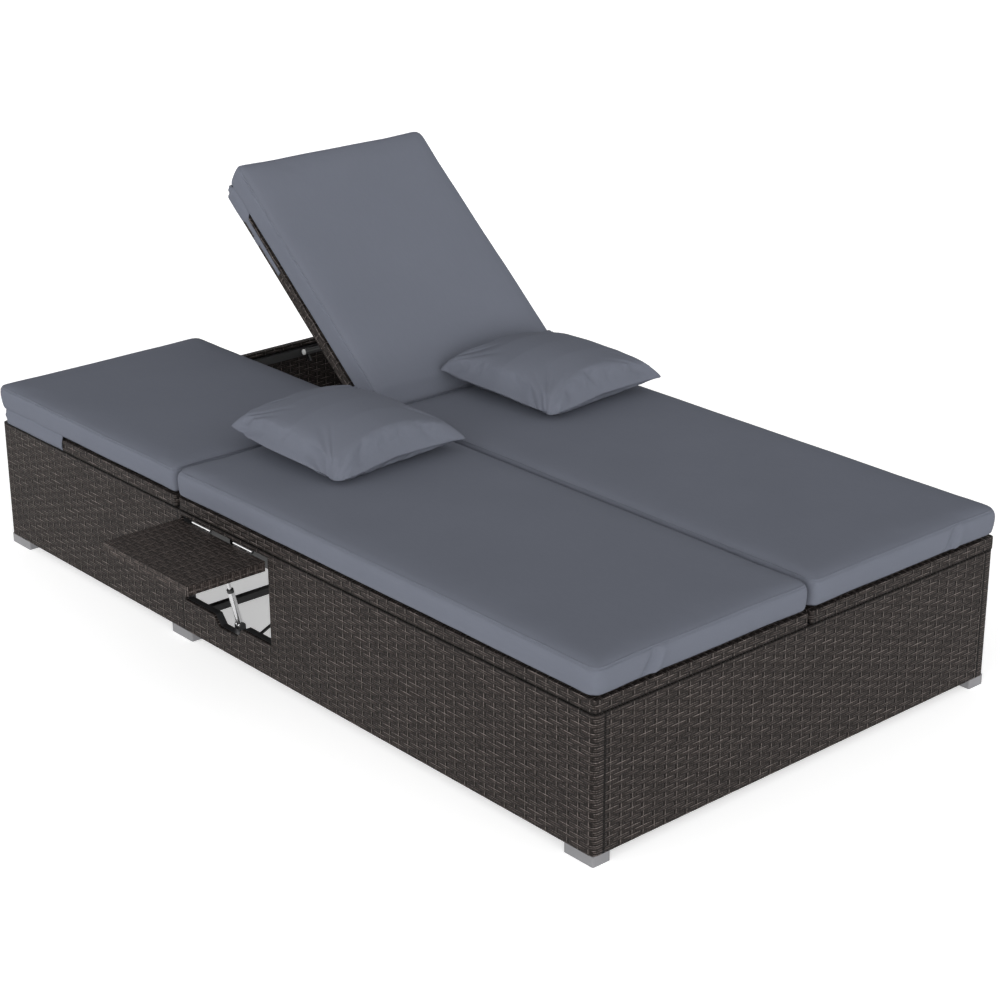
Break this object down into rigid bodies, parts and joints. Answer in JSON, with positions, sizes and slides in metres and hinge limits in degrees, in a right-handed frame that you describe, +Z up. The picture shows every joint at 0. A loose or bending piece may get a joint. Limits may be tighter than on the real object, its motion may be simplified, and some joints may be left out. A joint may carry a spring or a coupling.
{
  "type": "double chaise lounger",
  "caption": "Low woven double chaise with two padded backrests that tilt on prop legs, fold-out side tables on telescopic struts, loose pillows and flat metal feet.",
  "frame": {"origin": "on the floor, under the middle of the base", "axes": "+Y towards the head end, +X towards the raised backrest, +Z up"},
  "size_m": [1.452, 1.95, 0.8223],
  "materials": {
    "wicker": "woven dark brown-grey flat strands",
    "frame": "black powder coat",
    "foot_metal": "satin",
    "rubber": "matte",
    "cushion": "woven blue-grey outdoor cloth",
    "hinge_steel": "black",
    "bright_metal": "polished",
    "black_plastic": "matte",
    "pale_plastic": "smooth"
  },
  "bodies": {
    "root": {"long_rails": "frame", "cross_rails": "frame", "posts": "frame", "table_surrounds": "frame", "corner_braces": "frame", "left_foot_panel": "wicker", "right_foot_panel": "wicker", "left_head_panel": "wicker", "right_head_panel": "wicker", "foot_end_panel": "wicker", "head_end_panel": "wicker", "head_lip": "wicker", "feet": "foot_metal", "left_seat_deck": "wicker", "right_seat_deck": "wicker", "left_seat_frame": "frame", "right_seat_frame": "frame", "deck_spacers": "rubber", "left_seat_pad": "cushion", "right_seat_pad": "cushion", "seat_hinge_leaves": "hinge_steel", "back_hinge_pins": "hinge_steel", "prop_catches": "hinge_steel", "table_fixed_leaves": "bright_metal", "table_hinge_pins": "bright_metal", "strut_brackets": "frame"},
    "left_back": {"left_back_deck": "wicker", "left_back_frame": "frame", "left_back_hinge_leaves": "hinge_steel", "left_back_pad": "cushion", "left_back_hood": "cushion", "left_prop_brackets": "hinge_steel", "left_prop_pin": "hinge_steel"},
    "left_prop": {"left_prop_frame": "frame", "left_prop_caps": "pale_plastic"},
    "left_table": {"left_table_shell": "wicker", "left_table_frame": "frame", "left_table_leaves": "bright_metal", "left_strut_clevis": "bright_metal"},
    "left_strut": {"left_strut_tube": "bright_metal", "left_strut_collar": "black_plastic"},
    "left_strut_rod": {"left_strut_rod": "bright_metal"},
    "left_pillow": {"left_pillow": "cushion"},
    "right_back": {"right_back_deck": "wicker", "right_back_frame": "frame", "right_back_hinge_leaves": "hinge_steel", "right_back_pad": "cushion", "right_back_hood": "cushion", "right_prop_brackets": "hinge_steel", "right_prop_pin": "hinge_steel"},
    "right_prop": {"right_prop_frame": "frame", "right_prop_caps": "pale_plastic"},
    "right_table": {"right_table_shell": "wicker", "right_table_frame": "frame", "right_table_leaves": "bright_metal", "right_strut_clevis": "bright_metal"},
    "right_strut": {"right_strut_tube": "bright_metal", "right_strut_collar": "black_plastic"},
    "right_strut_rod": {"right_strut_rod": "bright_metal"},
    "right_pillow": {"right_pillow": "cushion"}
  },
  "joints": [
    {"name": "left_back_hinge", "type": "hinge", "parent": "root", "child": "left_back", "pos_m": [-0.2705, 0.268, 0.35], "axis": [1, 0, 0], "range_deg": [0, 40.3]},
    {"name": "left_prop_pivot", "type": "hinge", "parent": "left_back", "child": "left_prop", "pos_m": [-0.3935, 0.748, 0.3], "axis": [1, 0, 0], "range_deg": [0, 89]},
    {"name": "left_table_hinge", "type": "hinge", "parent": "root", "child": "left_table", "pos_m": [-0.54, 0.1065, 0.281], "axis": [0, -1, 0], "range_deg": [0, 90]},
    {"name": "left_strut_pivot", "type": "hinge", "parent": "root", "child": "left_strut", "pos_m": [-0.5075, 0.1065, 0.078], "axis": [0, 1, 0], "range_deg": [0, 14.9]},
    {"name": "left_strut_slide", "type": "slide", "parent": "left_strut", "child": "left_strut_rod", "axis": [-0.2363, 0, 0.9717], "range_m": [0, 0.0041]},
    {"name": "left_pillow_lift", "type": "slide", "parent": "root", "child": "left_pillow", "axis": [0, 0, 1], "range_m": [0, 0.3]},
    {"name": "right_back_hinge", "type": "hinge", "parent": "root", "child": "right_back", "pos_m": [0.2705, 0.268, 0.35], "axis": [1, 0, 0], "range_deg": [-40.3, 0]},
    {"name": "right_prop_pivot", "type": "hinge", "parent": "right_back", "child": "right_prop", "pos_m": [0.3935, 0.66642, 0.62233], "axis": [1, 0, 0], "range_deg": [-89, 0]},
    {"name": "right_table_hinge", "type": "hinge", "parent": "root", "child": "right_table", "pos_m": [0.54, 0.1065, 0.281], "axis": [0, 1, 0], "range_deg": [0, 90]},
    {"name": "right_strut_pivot", "type": "hinge", "parent": "root", "child": "right_strut", "pos_m": [0.5075, 0.1065, 0.078], "axis": [0, -1, 0], "range_deg": [0, 14.9]},
    {"name": "right_strut_slide", "type": "slide", "parent": "right_strut", "child": "right_strut_rod", "axis": [0.2363, 0, 0.9717], "range_m": [0, 0.0041]},
    {"name": "right_pillow_lift", "type": "slide", "parent": "root", "child": "right_pillow", "axis": [0, 0, 1], "range_m": [0, 0.3]}
  ],
  "couplings": [
    {"joint": "left_prop_pivot", "follows": "left_back_hinge", "ratio": 2.2041},
    {"joint": "left_strut_pivot", "follows": "left_table_hinge", "ratio": 0.16496},
    {"joint": "left_strut_slide", "follows": "left_table_hinge", "m_per_rad": 0.0025465},
    {"joint": "right_prop_pivot", "follows": "right_back_hinge", "ratio": 2.2041},
    {"joint": "right_strut_pivot", "follows": "right_table_hinge", "ratio": 0.16496},
    {"joint": "right_strut_slide", "follows": "right_table_hinge", "m_per_rad": 0.0025465}
  ]
}
